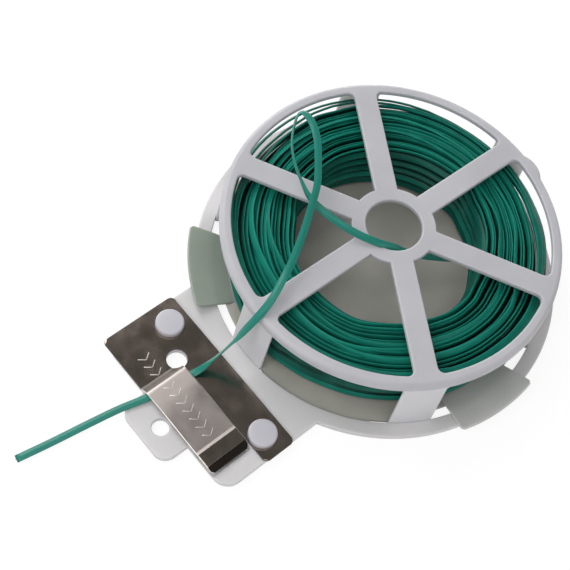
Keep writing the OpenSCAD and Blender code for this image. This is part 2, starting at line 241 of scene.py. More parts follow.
# Wire: darkest tone, lightest tone, strength of its shine
# The darkest tone is painted shade, on the turns that lie in the shade.
COATING = coating("green_coating", (0.0005, 0.02, 0.014), (0.012, 0.28, 0.207), 0.16)
TAIL_COATING = coating("green_coating_free", (0.003, 0.11, 0.083), (0.014, 0.235, 0.18), 0.4)
CORE = coating("green_shade", (0.0005, 0.022, 0.015), (0.002, 0.042, 0.029), 0.1)
# Steel: least and greatest roughness, tint
STEEL = steel("cutter_steel", (0.10, 0.24), (0.36, 0.307, 0.266))
SATIN_STEEL = steel("pressed_steel", (0.31, 0.45), (0.38, 0.34, 0.32))
# Darker steel: painted shade on the plate's turned-down edges and the tongue's rising root, in place of their
# bright reflections.
STEEL_PAINTED_SHADE = steel("steel_painted_shade", (0.34, 0.48), (0.13, 0.115, 0.108))
# Near-black steel: painted shade on the tongue's lip.
LIP_STEEL_PAINTED_SHADE = steel("lip_steel_painted_shade", (0.14, 0.26), (0.05, 0.042, 0.037))
# Bright steel for cut sides: a bare cut edge, lightened further as a painted highlight.
CUT_STEEL_PAINTED_HIGHLIGHT = steel("cut_steel_painted_highlight", (0.30, 0.45), (0.85, 0.80, 0.75))
STAMP = steel("stamped_steel", (0.34, 0.46), (0.60, 0.56, 0.53))
BARE = steel("bare_wire", (0.22, 0.35), (0.45, 0.44, 0.43))


# -------- mesh helpers

SHARPEST = 0.45  # least cosine by which inset() lengthens its step at a corner
EDGE_STEPS = 3  # facets round each edge of a bent sheet
EDGE_CUT = 0.012  # share of a bent sheet's width with a cut of its own, which keeps the shading flat


def add_piece(name, verts, faces, material, slot, body="frame", uvs=None, tones=None, zones=None):
    """Makes a smooth-shaded object from millimetres that rides on a body.

    zones, where given, is (more materials, a function from a face's middle in mm and its normal
    to the number of its material).
    """
    mesh = bpy.data.meshes.new(name)
    mesh.from_pydata([(x * MM, y * MM, z * MM) for x, y, z in verts], [], faces)
    shell = bmesh.new()
    shell.from_mesh(mesh)
    bmesh.ops.recalc_face_normals(shell, faces=shell.faces)
    shell.to_mesh(mesh)
    shell.free()
    mesh.polygons.foreach_set("use_smooth", [True] * len(mesh.polygons))
    if uvs:
        layer = mesh.uv_layers.new(name="UVMap")
        for loop in mesh.loops:
            layer.data[loop.index].uv = uvs[loop.vertex_index]
    if tones:
        mesh.attributes.new("turn_tone_and_shade", "FLOAT", "POINT").data.foreach_set("value", tones)
    mesh.materials.append(material)
    if zones:
        for other in zones[0]:
            mesh.materials.append(other)
        for face in mesh.polygons:
            face.material_index = zones[1](face.center / MM, face.normal)
    made = add_object(name, mesh)
    made.modifiers.new("flat_faces_first", "WEIGHTED_NORMAL")
    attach(made, body)
    return made


def polar(radius, degrees, centre=(0, 0)):
    a = math.radians(degrees)
    return centre[0] + radius * math.cos(a), centre[1] + radius * math.sin(a)


def direction(azimuth, elevation):
    a, e = math.radians(azimuth), math.radians(elevation)
    return Vector((math.cos(e) * math.cos(a), math.cos(e) * math.sin(a), math.sin(e)))


def arc(radius, first, last, centre=(0, 0), step=2.0):
    count = max(2, math.ceil(abs(last - first) / step))
    return [polar(radius, first + (last - first) * i / count, centre) for i in range(count + 1)]


def inset(points, depth):
    """Moves each point of a closed loop to the left of the way round."""
    if abs(depth) < 1e-9:
        return list(points)
    moved = []
    for i, (x, y) in enumerate(points):
        before, after = Vector(points[i - 1]), Vector(points[(i + 1) % len(points)])
        here = Vector((x, y))
        e, f = (here - before).normalized(), (after - here).normalized()
        left = Vector((-e.y - f.y, e.x + f.x)).normalized()
        reach = depth / max(left.dot(Vector((-e.y, e.x))), SHARPEST)
        moved.append(tuple(here + left * reach))
    return moved


def inside(point, loops):
    """Whether a point is inside the loops: an odd number of their sides lies to its right."""
    x, y = point
    crossed = False
    for loop in loops:
        for (x0, y0), (x1, y1) in zip(loop, loop[1:] + loop[:1]):
            if (y0 > y) != (y1 > y) and x < x0 + (y - y0) * (x1 - x0) / (y1 - y0):
                crossed = not crossed
    return crossed


def fill(loops):
    """Triangles between loops of (index, point), with the inner loops left open."""
    index = [i for loop in loops for i, _ in loop]
    points = [Vector(p) for loop in loops for _, p in loop]
    edges, start = [], 0
    for loop in loops:
        edges += [(start + i, start + (i + 1) % len(loop)) for i in range(len(loop))]
        start += len(loop)
    found, _, faces, origin, _, _ = delaunay_2d_cdt(points, edges, [], 0, 1e-5)
    rings = [[p for _, p in loop] for loop in loops]
    kept = []
    for face in faces:
        middle = sum((found[i] for i in face), Vector((0, 0))) / len(face)
        if inside(middle, rings):
            kept.append([index[origin[i][0]] for i in face])
    return kept


def quarter(steps):
    """(sine, cosine) of the angles of a quarter turn."""
    turn = [math.pi / 2 * k / steps for k in range(steps + 1)]
    return [(math.sin(a), math.cos(a)) for a in turn]


def band(first, second, count):
    """Faces between two closed rows of points that start at the given numbers."""
    return [(first + i, first + (i + 1) % count, second + (i + 1) % count, second + i)
            for i in range(count)]


def joined(parts):
    """One mesh from several, each given as (verts, faces)."""
    verts, faces = [], []
    for more, sides in parts:
        faces += [tuple(i + len(verts) for i in face) for face in sides]
        verts += more
    return verts, faces


def solid(loops):
    """A closed solid. Each loop is (points, levels), and a level is (inset, height), lowest first."""
    verts, faces, low, high = [], [], [], []
    for points, levels in loops:
        count, rows = len(points), []
        for depth, z in levels:
            rows.append(len(verts))
            verts += [(x, y, z) for x, y in inset(points, depth)]
        for a, b in zip(rows, rows[1:]):
            faces += band(a, b, count)
        for cap, row in ((low, rows[0]), (high, rows[-1])):
            cap.append([(row + i, verts[row + i][:2]) for i in range(count)])
    return verts, faces + fill(low) + fill(high)


def rounded(bottom, top, edge, steps=4):
    """Levels of a wall with both its edges rounded."""
    turn = quarter(steps)
    return ([(edge * (1 - s), bottom + edge * (1 - c)) for s, c in turn]
            + [(edge * (1 - c), top - edge * (1 - s)) for s, c in turn])


def lathe(profile, centre, count=64):
    """A turned solid from a profile of (radius, height) that starts and ends on the axis."""
    verts, rows = [(*centre, profile[0][1]), (*centre, profile[-1][1])], []
    for radius, z in profile[1:-1]:
        rows.append(len(verts))
        verts += [(*polar(radius, 360 * i / count, centre), z) for i in range(count)]
    faces = [(0, rows[0] + (i + 1) % count, rows[0] + i) for i in range(count)]
    faces += [(1, rows[-1] + i, rows[-1] + (i + 1) % count) for i in range(count)]
    for a, b in zip(rows, rows[1:]):
        faces += band(a, b, count)
    return verts, faces


def tube(rings):
    """A tube through rings of points, with capped ends."""
    size = len(rings[0])
    verts = [p for ring in rings for p in ring]
    faces = [face for i in range(len(rings) - 1) for face in band(i * size, (i + 1) * size, size)]
    return verts, faces + [tuple(range(size))[::-1], tuple(range(len(verts) - size, len(verts)))]


def bent_sheet(stations, span, place, thickness, edge, across):
    """A bent sheet with rounded edges. span(way) gives its two sides and place(way, t, h) a point."""
    turn = quarter(EDGE_STEPS)
    cuts = [0, EDGE_CUT] + [i / across for i in range(1, across)] + [1 - EDGE_CUT, 1]
    runs = [(way, 0.0) for way in stations]
    runs += [(stations[-1] + edge * s, edge * (1 - c)) for s, c in turn[1:]]
    rings = []
    for way, thin in runs:
        near, far = span(min(way, stations[-1]))
        side = 1 if far > near else -1
        half = thickness / 2 - thin
        bend = min(edge, half)
        inward = side * bend
        ring = [(near + side * (bend + (abs(far - near) - 2 * bend) * cut), half) for cut in cuts]
        ring += [(far - inward * (1 - s), half - bend * (1 - c)) for s, c in turn[1:]]
        ring += [(far - inward * (1 - c), -half + bend * (1 - s)) for s, c in turn]
        ring += [(t, -half) for t, _ in ring[len(cuts) - 2:0:-1]]
        ring += [(near + inward, -half)]
        ring += [(near + inward * (1 - s), -half + bend * (1 - c)) for s, c in turn[1:]]
        ring += [(near + inward * (1 - c), half - bend * (1 - s)) for s, c in turn[:-1]]
        rings.append([place(way, t, h) for t, h in ring])
    return tube(rings)


def corner_cut(over, radius, least):
    """How far a rounded corner draws a side in, where over is the way past the corner's start."""
    return radius - math.sqrt(max(radius ** 2 - over ** 2, least))


def smooth_step(t):
    t = min(max(t, 0.0), 1.0)
    return t * t * (3 - 2 * t)


def spline(points, steps):
    """A Catmull-Rom curve through points."""
    out, last = [], len(points) - 1
    for i in range(last):
        a, b, c, d = (Vector(points[min(max(k, 0), last)]) for k in (i - 1, i, i + 1, i + 2))
        for k in range(steps):
            t = k / steps
            out.append(0.5 * (2 * b + (c - a) * t + (2 * a - 5 * b + 4 * c - d) * t * t
                              + (3 * b - a - 3 * c + d) * t ** 3))
    return out + [Vector(points[last])]


# -------- flat wire

WIRE_W = 2.2
WIRE_T = 0.76
UV_MM = 10  # millimetres of wire for one unit of its UV map


def wire_section(left):
    """Section of the wire from the left half of its face: (place across, height), from the edge in."""
    face = [(-a, h) for a, h in left] + [(0.0, 1.0)] + [(a, h) for a, h in reversed(left)]
    return ([(a * WIRE_W / 2, h * WIRE_T / 2) for a, h in face]
            + [(a * WIRE_W / 2, -h * WIRE_T / 2) for a, h in reversed(face)])


WIRE_SECTION = wire_section([(1.0, 0.22), (0.9, 0.42), (0.6, 0.55), (0.3, 0.92)])
COIL_SECTION = wire_section([(1.0, 0.2), (0.88, 0.55), (0.6, 0.85)])


def sweep_wire(path, faces_to, section=WIRE_SECTION):
    """The flat wire along a path, with its flat side turned to the given directions."""
    rings, uvs, run, last = [], [], 0.0, len(path) - 1
    for i, here in enumerate(path):
        ahead = (path[min(i + 1, last)] - path[max(i - 1, 0)]).normalized()
        out = (faces_to[i] - ahead * faces_to[i].dot(ahead)).normalized()
        side = out.cross(ahead)
        run += (here - path[i - 1]).length if i else 0.0
        rings.append([tuple(here + side * a + out * h) for a, h in section])
        uvs += [(run / UV_MM, a / WIRE_W + (0.5 if h > 0 else 1.5)) for a, h in section]
    return rings, uvs


# Route of the free wire in metres, as in the CAD
TAIL = [
    (0.0202, 0.0184, 0.013), (0.0162, 0.0135, 0.0148), (0.0134, 0.0088, 0.0166), (0.0108, 0.0044, 0.0184),
    (0.0084, 0.0008, 0.0204), (0.0068, -0.0018, 0.0224), (0.0047, -0.005, 0.0249),
    (0.0016, -0.0087, 0.0269), (-0.0035, -0.0122, 0.0282), (-0.0088, -0.0146, 0.0292),
    (-0.0141, -0.0163, 0.0302), (-0.0192, -0.0169, 0.0312), (-0.0244, -0.0159, 0.0324),
    (-0.0298, -0.0141, 0.0338), (-0.0342, -0.0115, 0.0352), (-0.0377, -0.008, 0.0366),
    (-0.0395, -0.0052, 0.0376), (-0.0391, -0.0038, 0.0382), (-0.037, -0.0036, 0.0385),
    (-0.0333, -0.0046, 0.0384), (-0.0291, -0.0068, 0.0379), (-0.0248, -0.0101, 0.037),
    (-0.0197, -0.0145, 0.0356), (-0.0155, -0.02, 0.034), (-0.0103, -0.0276, 0.0324),
    (-0.0063, -0.0344, 0.031), (-0.0037, -0.0401, 0.0298), (-0.0014, -0.0457, 0.0284),
    (-0.0007, -0.0505, 0.0256), (-0.0012, -0.0541, 0.0204), (-0.0021, -0.057, 0.0146),
    (-0.0032, -0.0608, 0.0086), (-0.0041, -0.0646, 0.0046), (-0.0049, -0.068, 0.00298),
    (-0.0058, -0.0748, 0.00296), (-0.0067, -0.0817, 0.00294), (-0.0087, -0.0897, 0.0025),
    (-0.0105, -0.099, 0.0018), (-0.0123, -0.1096, 0.0012), (-0.0142, -0.1198, 0.0008)]
# Where the wire's flat side looks at each of those points
UP, FRONT, EDGE = (0, 0, 1), (0.25, -0.45, 0.85), (-0.75, -0.2, 0.35)
SIDE, BACK, TURNED = (-0.4, -0.87, 0), (-0.5, -0.8, 0), (0.65, -0.3, 0.7)
HALF, LIT = (0.5, -0.4, 0.78), (0.08, -0.58, 0.8)
TAIL_FACE = ([UP] * 6 + [FRONT] * 5
             + [(-0.1, -0.85, 0.35), (-0.3, -0.9, 0), SIDE, BACK, BACK]
             + [(-0.75, -0.4, 0.3), (-0.5, 0.1, 0.8), (-0.1, 0.1, 1)]
             + [TURNED] * 5 + [HALF, HALF, LIT, LIT, LIT]
             + [(-0.2, -0.7, 0.7), EDGE, EDGE, (-0.3, -0.15, 0.9)] + [UP] * 7)
TAIL_STEPS, TAIL_TONE = 6, 0.9
CORE_SIDES = 12
CORE_RINGS = ((1.0, 0.21), (-0.12, 0.21), (-0.2, 0.13))  # (way in from the wire's end, radius)


def add_tail():
    path = [p / MM for p in spline(TAIL, TAIL_STEPS)]
    rings, uvs = sweep_wire(path, spline(TAIL_FACE, TAIL_STEPS))
    verts, faces = tube(rings)
    tail = add_piece("free_wire", verts, faces, TAIL_COATING, "green_coating", uvs=uvs,
                     tones=[TAIL_TONE] * len(verts))
    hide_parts("wire_tail")
    # The steel core, which shows at the cut end
    tip, inward = path[-1], (path[-3] - path[-1]).normalized()
    side = Vector((-inward.y, inward.x, 0)).normalized()
    up = side.cross(inward)
    turn = [math.tau / CORE_SIDES * k for k in range(CORE_SIDES)]
    ends = [[tuple(tip + inward * run + (side * math.cos(a) + up * math.sin(a)) * radius) for a in turn]
            for run, radius in CORE_RINGS]
    core = add_piece("free_wire_core", *tube(ends), BARE, "cutter_steel")


add_tail()


# -------- white body

CAGE_TURN = -1.4
SPOKES = [CAGE_TURN - 90 + 60 * k for k in range(6)]
RING_R, RING_IN, CAGE_TOP, CAGE_UNDER = 50.0, 46.8, 25.8, 24.0
HUB_R, HUB_HOLE = 12.4, 8.3
SPOKE_W, RIM_FILLET = 6.8, 1.9
LEG_ANGLE, LEG_T, SKIRT_Z = 14.2, 1.2, 22.5
BASE_R, BASE_IN, BASE_T = 55.28, 51.1, 2.0
TAB_X, TAB_Y, TAB_CORNER = 27.4, -81.3, 5.0
EAR, EAR_Y, EAR_CORNER = (-8.7, 11.1), -90.0, 4.0
HANG_HOLE, GUIDE_HOLE = (2.1, -83.9), (-11.2, -68.0)
HANG_R, GUIDE_R = 2.5, 3.0
BUMP_AT, BUMP_N, BUMP_R = 78.7, 43.54, 7.76
POCKET = (15.5, 22.1, -68.0, 0.9)  # from X, to X, nearest Y, height of its floor
BEYOND = 2.0  # how far the block that cuts the pocket stands out of the tab
SHOULDER_IN, SHOULDER_UP, SHOULDER_Z = 1.5, 1.6, 24.2
# (inset, height) up the outside of the front ring: its skirt, and its side up to the round shoulder
RING_WALL = [(2.2, CAGE_UNDER), (1.98, 23.85), (1.8, 23.6), (1.35, 22.85), (1.15, 22.58), (0.95, SKIRT_Z),
             (0.25, SKIRT_Z), (0.07, 22.57), (0, 22.75), (0, 23.5), (0, SHOULDER_Z)]
LEG_LEVELS = [0.02, 0.3, 1, 2, 4, 7, 10, 13, 16, 18, 20, 21, 21.3, 21.6, 21.9, 22.1, 22.3, 22.45, 22.6, 23.2]
LEG_FOOT_R, LEG_TOP_R, LEG_THINNING = BASE_IN + 0.02, RING_R - 0.1, 0.1
LEG_FLARE, LEG_WIDEST = 1.3, 1.0
LEG_CORNER, LEG_CORNER_STEPS, LEG_CUTS = 0.4, 4, 14


def window(middle):
    """The gap between two spokes, clockwise."""
    half, rim = SPOKE_W / 2, RING_IN - RIM_FILLET
    at_rim = 30 - math.degrees(math.asin((half + RIM_FILLET) / rim))
    at_hub = 30 - math.degrees(math.asin(half / HUB_R))
    loop = (arc(RING_IN, middle - at_rim, middle + at_rim)
            + arc(RIM_FILLET, middle + at_rim, middle + 120, polar(rim, middle + at_rim), 12)[1:]
            + arc(HUB_R, middle + at_hub, middle - at_hub, step=4)
            + arc(RIM_FILLET, middle - 120, middle - at_rim, polar(rim, middle - at_rim), 12)[:-1])
    return loop[::-1]


def ring_outline():
    """The outside of the front ring, with its bump."""
    half = math.degrees(math.acos((RING_R ** 2 + BUMP_N ** 2 - BUMP_R ** 2) / (2 * RING_R * BUMP_N)))
    centre = polar(BUMP_N, BUMP_AT)
    edge = Vector(polar(RING_R, BUMP_AT + half)) - Vector(centre)
    turn = math.degrees(math.atan2(edge.y, edge.x)) - BUMP_AT
    return (arc(RING_R, BUMP_AT + half, BUMP_AT - half + 360, step=1.5)[:-1]
            + arc(BUMP_R, BUMP_AT - turn, BUMP_AT + turn, centre, 5)[:-1])


def add_cage():
    ring_wall = RING_WALL + [(SHOULDER_IN * (1 - c), SHOULDER_Z + SHOULDER_UP * s) for s, c in quarter(7)[1:]]
    loops = [(ring_outline(), ring_wall),
             (arc(HUB_HOLE, 360, 0, step=4)[:-1], rounded(CAGE_UNDER, CAGE_TOP, 0.45))]
    loops += [(window(a + 30), rounded(CAGE_UNDER, CAGE_TOP, 0.45)) for a in SPOKES]
    cage = add_piece("cage_front", *solid(loops), WHITE, "white_plastic")
    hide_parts("front_ring", "hub_and_spokes")


def leg_ring(middle, z, outer, inner, half):
    """Section of a leg at one height: a piece of an arc with rounded corners."""
    centre_r = (outer + inner) / 2
    wide, deep = math.radians(half) * centre_r - LEG_CORNER, (outer - inner) / 2
    across = [-wide + 2 * wide * i / LEG_CUTS for i in range(LEG_CUTS + 1)]
    points = [(u, deep) for u in across]
    for sx, sy, start in ((1, 1, 90), (1, -1, 0), (-1, -1, -90), (-1, 1, -180)):
        if (sx, sy) == (-1, -1):
            points += [(-u, -deep) for u in across[1:-1]]
        centre = (sx * wide, sy * (deep - LEG_CORNER))
        points += [polar(LEG_CORNER, start - 90 * k / LEG_CORNER_STEPS, centre)
                   for k in range(1 if (sx, sy) == (1, 1) else 0, LEG_CORNER_STEPS + 1)]
    return [(*polar(centre_r + v, middle - math.degrees(u / centre_r)), z) for u, v in points[:-1]]


def faces_coil(middle, normal):
    """1 for a face of a leg that looks at the coil, which gets the painted backlight, and 0 for any other."""
    return int(normal.dot(Vector((middle.x, middle.y, 0)).normalized()) < -0.5)


def add_legs():
    parts = []
    for middle in SPOKES:
        rings = []
        for z in LEG_LEVELS:
            up = min(max((z - BASE_T) / (SKIRT_Z - BASE_T), 0), 1)
            outer = LEG_FOOT_R - (LEG_FOOT_R - LEG_TOP_R) * up
            rise = min(max(z - (SKIRT_Z - LEG_FLARE), 0), LEG_FLARE)
            wider = LEG_FLARE - math.sqrt(max(LEG_FLARE ** 2 - rise ** 2, 0))
            half = LEG_ANGLE / 2 + math.degrees(min(wider, LEG_WIDEST) / RING_R)
            rings.append(leg_ring(middle, z, outer, outer - LEG_T + LEG_THINNING * up, half))
        parts.append(tube(rings))
    # The legs' faces towards the coil get the painted backlight.
    legs = add_piece("cage_leg_set", *joined(parts), WHITE_LEGS_PAINTED_LIGHT, "white_plastic",
                     zones=([WHITE_INSIDE_PAINTED_BACKLIGHT], faces_coil))
    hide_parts("cage_legs")


def base_outline():
    """The base ring, the tab and the ear, anticlockwise."""
    tab_at = math.degrees(math.asin(TAB_X / BASE_R)) - 90
    c, e = TAB_CORNER, EAR_CORNER
    return (arc(BASE_R, tab_at, 180 - tab_at)
            + arc(c, 180, 270, (-TAB_X + c, TAB_Y + c), 10)
            + [(EAR[0], TAB_Y)]
            + arc(e, 180, 270, (EAR[0] + e, EAR_Y + e), 10)
            + arc(e, 270, 360, (EAR[1] - e, EAR_Y + e), 10)
            + [(EAR[1], TAB_Y)]
            + arc(c, 270, 360, (TAB_X - c, TAB_Y + c), 10))


def cut_pocket(base):
    """Cuts away the shallow room under the tongue."""
    x0, x1, y1, z0 = POCKET
    low, high = Vector((x0, TAB_Y - BEYOND, z0)) * MM, Vector((x1, y1, BASE_T + BEYOND)) * MM
    mesh = bpy.data.meshes.new("pocket")
    shell = bmesh.new()
    bmesh.ops.create_cube(shell, size=1)
    for v in shell.verts:
        v.co = [(a + b) / 2 + c * (b - a) for a, b, c in zip(low, high, v.co)]
    shell.to_mesh(mesh)
    shell.free()
    block = add_object("pocket", mesh)
    cut = base.modifiers.new("pocket", "BOOLEAN")
    cut.object, cut.operation, cut.solver = block, "DIFFERENCE", "EXACT"
    base.modifiers.move(1, 0)
    bpy.context.view_layer.update()
    shape = bpy.data.meshes.new_from_object(base.evaluated_get(bpy.context.evaluated_depsgraph_get()))
    base.modifiers.remove(cut)
    base.data = shape
    bpy.data.objects.remove(block)


def add_base():
    edge = rounded(0, BASE_T, 0.35)
    loops = [(base_outline(), edge), (arc(BASE_IN, 360, 0)[:-1], rounded(0, BASE_T, 0.2))]
    loops += [(arc(radius, 360, 0, centre, 8)[:-1], edge)
              for radius, centre in ((HANG_R, HANG_HOLE), (GUIDE_R, GUIDE_HOLE))]
    base = add_piece("base", *solid(loops), WHITE, "white_plastic")
    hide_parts("base_ring", "cutter_tab")
    cut_pocket(base)


add_cage()
add_legs()
add_base()


# -------- back disc

DISC_R, DISC_T, DISC_TURN = 51.0, 1.2, -4.0
DISC_STEP, LEAST_STEP = 2.0, 0.4  # degrees between the points of its edge, and from a corner to one
HAIR, STEP_TURN = 0.02, 0.05  # degrees to look to each side of a corner, and that a step takes
WING_R, WING_HALF, WING_CORNER, WING_T, WING_EDGE = 57.4, 13.7, 1.0, 0.9, 0.22
WING_CUTS, WING_SCALE_R = 18, 52  # at this radius the wing's width in millimetres is true
WING_RISE = [(44.2, 0.55), (45.6, 0.75), (47.2, 1.2), (49, 1.85), (51, 2.6), (53, 3.2), (55.5, 4.0),
             (58.5, 5.0)]  # (radius, height) of its middle
WING_STATIONS = [44.6 + 0.4 * i for i in range(30)]
WING_STATIONS += [WING_R - WING_CORNER + WING_CORNER * share
                  for share in (0.05, 0.25, 0.45, 0.6, 0.75, 0.85, 0.93, 0.98)]
WINGS = [DISC_TURN - 30 - 90 + 120 * k for k in range(3)]
NOTCHES = [DISC_TURN - 90 + 60 * k for k in range(6)]
# (middles, half the angle, radius) of its notches, of the legs' feet in them and of the gaps at the wings
DISC_CUTS = ((NOTCHES, 10.6, 50.3), (SPOKES, 7.15, 49.75), (WINGS, 29.0, 48.3))
LEFT_WING = 0  # the one whose copy of the plastic is greener: painted green reflection from the coil


def off(a, b):
    """Degrees between two angles, whichever way is shorter."""
    return abs((a - b + 180) % 360 - 180)


def disc_reach(a):
    """Radius of the disc at an angle: notches clear the legs, and wide gaps free the wings."""
    reach = DISC_R
    for middles, half, radius in DISC_CUTS:
        if min(off(a, middle) for middle in middles) < half:
            reach = radius
    return reach


def add_disc():
    corners = [middle + side * half
               for middles, half, _ in DISC_CUTS for middle in middles for side in (-1, 1)]
    even = [DISC_STEP * k for k in range(-90, 90)]
    steps = corners + [a for a in even if min(off(a, corner) for corner in corners) > LEAST_STEP]
    outline = []
    for a in sorted((a + 180) % 360 - 180 for a in steps):
        before, after = disc_reach(a - HAIR), disc_reach(a + HAIR)
        outline.append(polar(before, a))
        if before != after:
            outline.append(polar(after, a + STEP_TURN))
    sheet = solid([(outline, rounded(0, DISC_T, 0.2))])
    # Its lighter colour is painted light.
    disc = add_piece("back_disc_floor", *sheet, DISC_SHEET_PAINTED_LIGHT, "grey_green_plastic")
    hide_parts("back_disc")


def wing_span(r):
    """Both sides of a wing at a radius, in millimetres across."""
    half = WING_HALF
    over = r - (WING_R - WING_CORNER)
    if over > 0:
        half -= math.degrees(corner_cut(over, WING_CORNER, 0.01) / r)
    scale = math.radians(1) * WING_SCALE_R
    return -half * scale, half * scale


def on_wing(curve, middle):
    """place(r, t, h) on a wing, with t in millimetres across it."""
    def place(r, t, h):
        i = next((k for k in range(1, len(curve)) if curve[k].x >= r), len(curve) - 1)
        p, q = curve[i - 1], curve[i]
        z = p.z + (q.z - p.z) * ((r - p.x) / (q.x - p.x))
        tilt = math.atan((q.z - p.z) / (q.x - p.x))
        around = t / (math.radians(1) * WING_SCALE_R)
        return (*polar(r - h * math.sin(tilt), middle + around), z + h * math.cos(tilt))
    return place


def add_wings():
    curve = spline([(r, 0, z) for r, z in WING_RISE], 8)
    for k, middle in enumerate(WINGS):
        place = on_wing(curve, middle)
        wing = bent_sheet(sorted(WING_STATIONS), wing_span, place, WING_T, WING_EDGE, WING_CUTS)
        # Painted green reflection on the left wing, painted sheen and light on the others.
        material = WING_PAINTED_GREEN_BOUNCE if k == LEFT_WING else WING_PAINTED_SHEEN
        add_piece(f"disc_wing_{k + 1}", *wing, material, "grey_green_plastic")


add_disc()
add_wings()


# -------- wire coil

# Radii of the coil's layers by angle in the row frame. The first two tables are for the turns that
# came loose at the top, and the last one is for those that lie across the others.
LOOSE = {
    -125: 45.9, -137: 46.6, -144: 47.3, -155: 47.5, -175: 47.6, 172: 47.9, 160: 48.1, 150: 48.15,
    140: 48.15, 133: 47.9, 125: 47.4, 117: 46.9, 107: 46.6, 94: 46.6, 85: 47.0, 75: 46.8, 60: 46.0,
    48: 45.8, 38: 45.3, 28: 46.2, 21: 46.5, 14: 46.4, 7: 46.0, 0: 45.7, -30: 45.6, -60: 45.6, -100: 45.4}
SECOND = {
    -111: 44.9, -130: 45.4, -144: 45.9, -151: 45.9, -162: 45.5, -172: 45.3, 178: 45.6, 168: 46.4, 158: 46.9,
    150: 47.0, 141: 46.7, 130: 46.3, 120: 46.0, 112: 45.9, 100: 45.7, 85: 46.0, 60: 45.1, 40: 44.7,
    24: 45.6, 10: 45.5, -10: 45.1, -60: 44.9, -90: 44.7}
MASS = {
    -111: 44.4, -130: 44.6, -144: 44.6, -151: 44.2, -162: 43.4, -172: 43.7, 178: 44.0, 168: 44.8, 160: 44.6,
    150: 45.3, 141: 45.6, 133: 45.7, 125: 45.4, 117: 45.3, 107: 45.1, 94: 44.9, 75: 44.9, 60: 44.4,
    48: 44.4, 38: 44.4, 28: 44.9, 20: 45.0, 8: 44.8, 0: 44.5, -30: 44.3, -60: 44.3, -90: 44.1}
INSIDE = {
    141: 29.3, 167: 29.2, -175: 28.7, -153: 28.8, -136: 27.6, -101: 29.2, -87: 28.8, -63: 29.2, -42: 28.0,
    -20: 27.9, -2: 28.3, 8: 28.2, 20: 27.4, 40: 27.8, 60: 28.6, 75: 29.0, 88: 30.2, 110: 29.8}
SIDE_WALL = {
    -84: 47.0, -78: 46.4, -60: 45.8, -35: 45.6, 0: 46.0, 20: 46.9, 40: 46.8, 60: 47.4, 85: 47.6, 98: 47.3,
    110: 46.6, 122: 45.9, 150: 45.6, 180: 44.9, -150: 45.3, -120: 46.2}
STRAY = {
    102: 39.5, 91: 38.5, 80: 38.1, 62: 38.4, 43: 37.2, 15: 40.5, -20: 40.0, -60: 41.5, -100: 38.5, -140: 41,
    180: 40.5, 140: 41}


def by_angle(table, degrees):
    """Smooth value of a table of angles."""
    a = degrees % 360
    points = sorted((key % 360 + turn, value) for key, value in table.items() for turn in (-360, 0, 360))
    (below, low), (above, high) = next((p, q) for p, q in zip(points, points[1:]) if p[0] <= a < q[0])
    return low + (high - low) * smooth_step((a - below) / (above - below))


Slot = namedtuple("Slot", "kind value z lean sink", defaults=(0,))
DRAW = 11  # seed of the coil's random draws
SEAM, TURN_STEPS, CROSSING = -20, 96, 0.25  # where turns begin, points in one, share that changes over
SIDE_TURNS = ((3.4, 0.9), (5.6, 0.6), (8.3, 1.7), (11.1, 0.5), (14.0, 1.8), (16.7, 0.7))
# Tones of the first side turns: the negative ones are painted shade, for the front ring's shadow and the dark
# gaps between turns.
SIDE_SHADE_TONES = (0.8, 0.5, -0.5, 0.35, -0.5, 0.15, -0.5)
TOP_GAPS, TOP_TURNS = (0.8, 0.95, 1.1, 1.3, 1.5), 14
STRAYS = {5: Slot("stray", 0.0, 20.8, 50), 8: Slot("stray", -4.6, 20.6, 48)}
INNER_TURNS, INNER_FILL, UNDER_TURNS, SIDE_FILL = 9, 8, 12, 8
FILL_IN, TOP_MARGIN = 1.9, 0.9  # the second layer lies that far in, and the top starts that far out
DEEP, SHADE = 1.5, -0.4  # a turn whose value is above the first has the tone of the second
TOP_WANDER, WANDER, SIDE_WAVE, WAVE, TWIST = 0.38, 0.14, 0.9, 0.3, 14  # in radius, height and lean
TABLES = {"loose": LOOSE, "second": SECOND, "stray": STRAY, "inner": INSIDE, "side": SIDE_WALL}


def coil_slots(rng):
    """The turns in winding order. The value places a turn among its kind, and it sinks at -Y."""
    def near(middle, spread):
        return middle + rng.uniform(-spread, spread)

    slots = [Slot("side", inward + rng.uniform(0, 0.3), near(z, 0.3), 10 + rng.uniform(-8, 16))
             for z, inward in SIDE_TURNS]
    slots += [Slot("side", 0.5, 18.6, 50), Slot("loose", 0.0, 19.6, 30), Slot("second", 0.0, 20.1, 32)]
    gaps = [rng.choice(TOP_GAPS) for _ in range(TOP_TURNS - 1)]
    for k in range(TOP_TURNS):
        slots.append(Slot("top", sum(gaps[:k]) / sum(gaps), near(19.95, 0.25), near(19, 9), 0.9 * (k % 2)))
        if k in STRAYS:
            slots.append(STRAYS[k])
    slots += [Slot("inner", 0.3 + 0.8 * (k % 2) + rng.uniform(0, 0.4), 17.5 - 1.75 * k, near(126, 18))
              for k in range(INNER_TURNS)]
    slots += [Slot("inner", near(FILL_IN, 0.2), 3.4 + 2.0 * k, 10) for k in range(INNER_FILL)]
    slots += [Slot("under", (UNDER_TURNS - 0.5 - k) / UNDER_TURNS, near(17.4, 0.2), near(40, 6))
              for k in range(UNDER_TURNS)]
    slots += [Slot("side", near(FILL_IN, 0.2), 17.9 - 1.85 * k, 20) for k in range(SIDE_FILL)]
    return slots + [Slot("side", FILL_IN, 3.1, 20)]


def slot_radius(slot, a):
    """Radius of a turn at an angle: off its own table, or between the coil's inside and outside."""
    if slot.kind in TABLES:
        return by_angle(TABLES[slot.kind], a) + (-slot.value if slot.kind == "side" else slot.value)
    inner, outer = by_angle(INSIDE, a) + TOP_MARGIN, by_angle(MASS, a)
    return outer + (inner - outer) * slot.value


